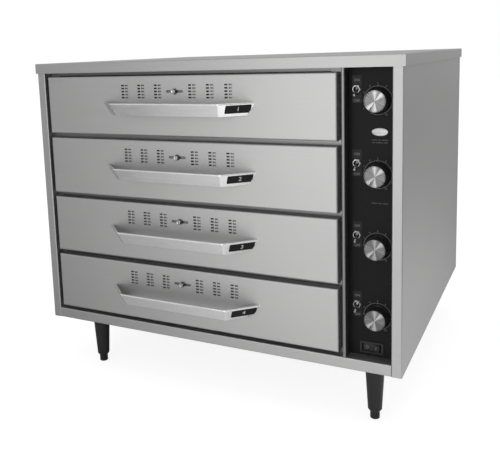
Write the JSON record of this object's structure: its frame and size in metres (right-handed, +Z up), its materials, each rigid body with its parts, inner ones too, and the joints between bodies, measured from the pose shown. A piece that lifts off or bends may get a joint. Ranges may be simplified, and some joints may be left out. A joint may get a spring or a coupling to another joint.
{
  "type": "drawer warming cabinet",
  "caption": "Free-standing warming cabinet: stacked sliding drawers with vented fronts and bent bar handles beside a recessed control column, on tapered adjustable legs.",
  "frame": {"origin": "centre of the bounding box's bottom face, on the surface the feet stand on", "axes": "+X to the right seen from the front, -Y out of the drawer fronts, +Z up"},
  "size_m": [0.75, 0.7048, 0.645],
  "materials": {
    "shell_steel": "brushed stainless casing",
    "divider_steel": "dull inner sheet between the oven and the controls",
    "front_steel": "brushed stainless drawer fronts",
    "rear_steel": "plain rear sheet",
    "oven_steel": "bright oven lining and drawer frames",
    "pan_steel": "satin pressed pan",
    "shutter_steel": "darkened vent shutter with button",
    "handle_steel": "polished grip",
    "slide_steel": "zinc-plated slides",
    "heater_sheath": "dark heating rod sheath",
    "fibre_board": "mineral fibre board",
    "black_panel": "satin black control plate",
    "knob_plastic": "black moulded knob",
    "knob_aluminium": "turned knob face",
    "thermostat_case": "thermostat case",
    "switch_chrome": "plated switch metal and screws",
    "switch_plastic": "black switch housing",
    "leg_plastic": "black moulded leg"
  },
  "bodies": {
    "cabinet": {"top_cap": "shell_steel", "left_side": "shell_steel", "right_side": "shell_steel", "base_pan": "shell_steel", "back_panel": "rear_steel", "divider": "divider_steel", "control_panel": "black_panel", "liner": "oven_steel", "baffles": "oven_steel", "heaters": "heater_sheath", "insulation": "fibre_board", "slide_rails": "slide_steel", "thermostats": "thermostat_case", "toggle_switches": "switch_chrome", "rocker_frame": "switch_plastic", "cord_bushing": "switch_plastic", "back_screws": "switch_chrome", "legs": "leg_plastic"},
    "drawer_1": {"drawer_front_1": "front_steel", "handle_1": "handle_steel", "carriage_1": "oven_steel", "food_pan_1": "pan_steel"},
    "slides_1": {"slide_mid_1": "slide_steel"},
    "vent_1": {"vent_slide_1": "shutter_steel"},
    "knob_1": {"knob_1": "knob_plastic", "knob_cap_1": "knob_aluminium"},
    "toggle_1": {"toggle_lever_1": "switch_chrome"},
    "drawer_2": {"drawer_front_2": "front_steel", "handle_2": "handle_steel", "carriage_2": "oven_steel", "food_pan_2": "pan_steel"},
    "slides_2": {"slide_mid_2": "slide_steel"},
    "vent_2": {"vent_slide_2": "shutter_steel"},
    "knob_2": {"knob_2": "knob_plastic", "knob_cap_2": "knob_aluminium"},
    "toggle_2": {"toggle_lever_2": "switch_chrome"},
    "drawer_3": {"drawer_front_3": "front_steel", "handle_3": "handle_steel", "carriage_3": "oven_steel", "food_pan_3": "pan_steel"},
    "slides_3": {"slide_mid_3": "slide_steel"},
    "vent_3": {"vent_slide_3": "shutter_steel"},
    "knob_3": {"knob_3": "knob_plastic", "knob_cap_3": "knob_aluminium"},
    "toggle_3": {"toggle_lever_3": "switch_chrome"},
    "drawer_4": {"drawer_front_4": "front_steel", "handle_4": "handle_steel", "carriage_4": "oven_steel", "food_pan_4": "pan_steel"},
    "slides_4": {"slide_mid_4": "slide_steel"},
    "vent_4": {"vent_slide_4": "shutter_steel"},
    "knob_4": {"knob_4": "knob_plastic", "knob_cap_4": "knob_aluminium"},
    "toggle_4": {"toggle_lever_4": "switch_chrome"},
    "rocker": {"rocker": "switch_plastic"},
    "foot_front_left": {"foot_front_left": "leg_plastic"},
    "foot_rear_left": {"foot_rear_left": "leg_plastic"},
    "foot_front_right": {"foot_front_right": "leg_plastic"},
    "foot_rear_right": {"foot_rear_right": "leg_plastic"}
  },
  "joints": [
    {"name": "drawer_1_slide", "type": "slide", "parent": "cabinet", "child": "drawer_1", "axis": [0, -1, 0], "range_m": [0, 0.4]},
    {"name": "slides_1_slide", "type": "slide", "parent": "cabinet", "child": "slides_1", "axis": [0, -1, 0], "range_m": [0, 0.2]},
    {"name": "vent_1_slide", "type": "slide", "parent": "drawer_1", "child": "vent_1", "axis": [1, 0, 0], "range_m": [-0.012, 0.012]},
    {"name": "knob_1_turn", "type": "hinge", "parent": "cabinet", "child": "knob_1", "pos_m": [0.325, -0.278, 0.5694], "axis": [0, 1, 0], "range_deg": [0, 300]},
    {"name": "toggle_1_flip", "type": "hinge", "parent": "cabinet", "child": "toggle_1", "pos_m": [0.29, -0.279, 0.5881], "axis": [-1, 0, 0], "range_deg": [0, 56]},
    {"name": "drawer_2_slide", "type": "slide", "parent": "cabinet", "child": "drawer_2", "axis": [0, -1, 0], "range_m": [0, 0.4]},
    {"name": "slides_2_slide", "type": "slide", "parent": "cabinet", "child": "slides_2", "axis": [0, -1, 0], "range_m": [0, 0.2]},
    {"name": "vent_2_slide", "type": "slide", "parent": "drawer_2", "child": "vent_2", "axis": [1, 0, 0], "range_m": [-0.012, 0.012]},
    {"name": "knob_2_turn", "type": "hinge", "parent": "cabinet", "child": "knob_2", "pos_m": [0.325, -0.278, 0.445], "axis": [0, 1, 0], "range_deg": [0, 300]},
    {"name": "toggle_2_flip", "type": "hinge", "parent": "cabinet", "child": "toggle_2", "pos_m": [0.29, -0.279, 0.4637], "axis": [-1, 0, 0], "range_deg": [0, 56]},
    {"name": "drawer_3_slide", "type": "slide", "parent": "cabinet", "child": "drawer_3", "axis": [0, -1, 0], "range_m": [0, 0.4]},
    {"name": "slides_3_slide", "type": "slide", "parent": "cabinet", "child": "slides_3", "axis": [0, -1, 0], "range_m": [0, 0.2]},
    {"name": "vent_3_slide", "type": "slide", "parent": "drawer_3", "child": "vent_3", "axis": [1, 0, 0], "range_m": [-0.012, 0.012]},
    {"name": "knob_3_turn", "type": "hinge", "parent": "cabinet", "child": "knob_3", "pos_m": [0.325, -0.278, 0.3206], "axis": [0, 1, 0], "range_deg": [0, 300]},
    {"name": "toggle_3_flip", "type": "hinge", "parent": "cabinet", "child": "toggle_3", "pos_m": [0.29, -0.279, 0.3393], "axis": [-1, 0, 0], "range_deg": [0, 56]},
    {"name": "drawer_4_slide", "type": "slide", "parent": "cabinet", "child": "drawer_4", "axis": [0, -1, 0], "range_m": [0, 0.4]},
    {"name": "slides_4_slide", "type": "slide", "parent": "cabinet", "child": "slides_4", "axis": [0, -1, 0], "range_m": [0, 0.2]},
    {"name": "vent_4_slide", "type": "slide", "parent": "drawer_4", "child": "vent_4", "axis": [1, 0, 0], "range_m": [-0.012, 0.012]},
    {"name": "knob_4_turn", "type": "hinge", "parent": "cabinet", "child": "knob_4", "pos_m": [0.325, -0.278, 0.1962], "axis": [0, 1, 0], "range_deg": [0, 300]},
    {"name": "toggle_4_flip", "type": "hinge", "parent": "cabinet", "child": "toggle_4", "pos_m": [0.29, -0.279, 0.2149], "axis": [-1, 0, 0], "range_deg": [0, 56]},
    {"name": "rocker_tip", "type": "hinge", "parent": "cabinet", "child": "rocker", "pos_m": [0.315, -0.276, 0.138], "axis": [0, 0, 1], "range_deg": [0, 15]},
    {"name": "foot_front_left_level", "type": "slide", "parent": "cabinet", "child": "foot_front_left", "axis": [0, 0, -1], "range_m": [0, 0.025]},
    {"name": "foot_rear_left_level", "type": "slide", "parent": "cabinet", "child": "foot_rear_left", "axis": [0, 0, -1], "range_m": [0, 0.025]},
    {"name": "foot_front_right_level", "type": "slide", "parent": "cabinet", "child": "foot_front_right", "axis": [0, 0, -1], "range_m": [0, 0.025]},
    {"name": "foot_rear_right_level", "type": "slide", "parent": "cabinet", "child": "foot_rear_right", "axis": [0, 0, -1], "range_m": [0, 0.025]}
  ],
  "couplings": [
    {"joint": "slides_1_slide", "follows": "drawer_1_slide", "ratio": 0.5},
    {"joint": "slides_2_slide", "follows": "drawer_2_slide", "ratio": 0.5},
    {"joint": "slides_3_slide", "follows": "drawer_3_slide", "ratio": 0.5},
    {"joint": "slides_4_slide", "follows": "drawer_4_slide", "ratio": 0.5}
  ]
}
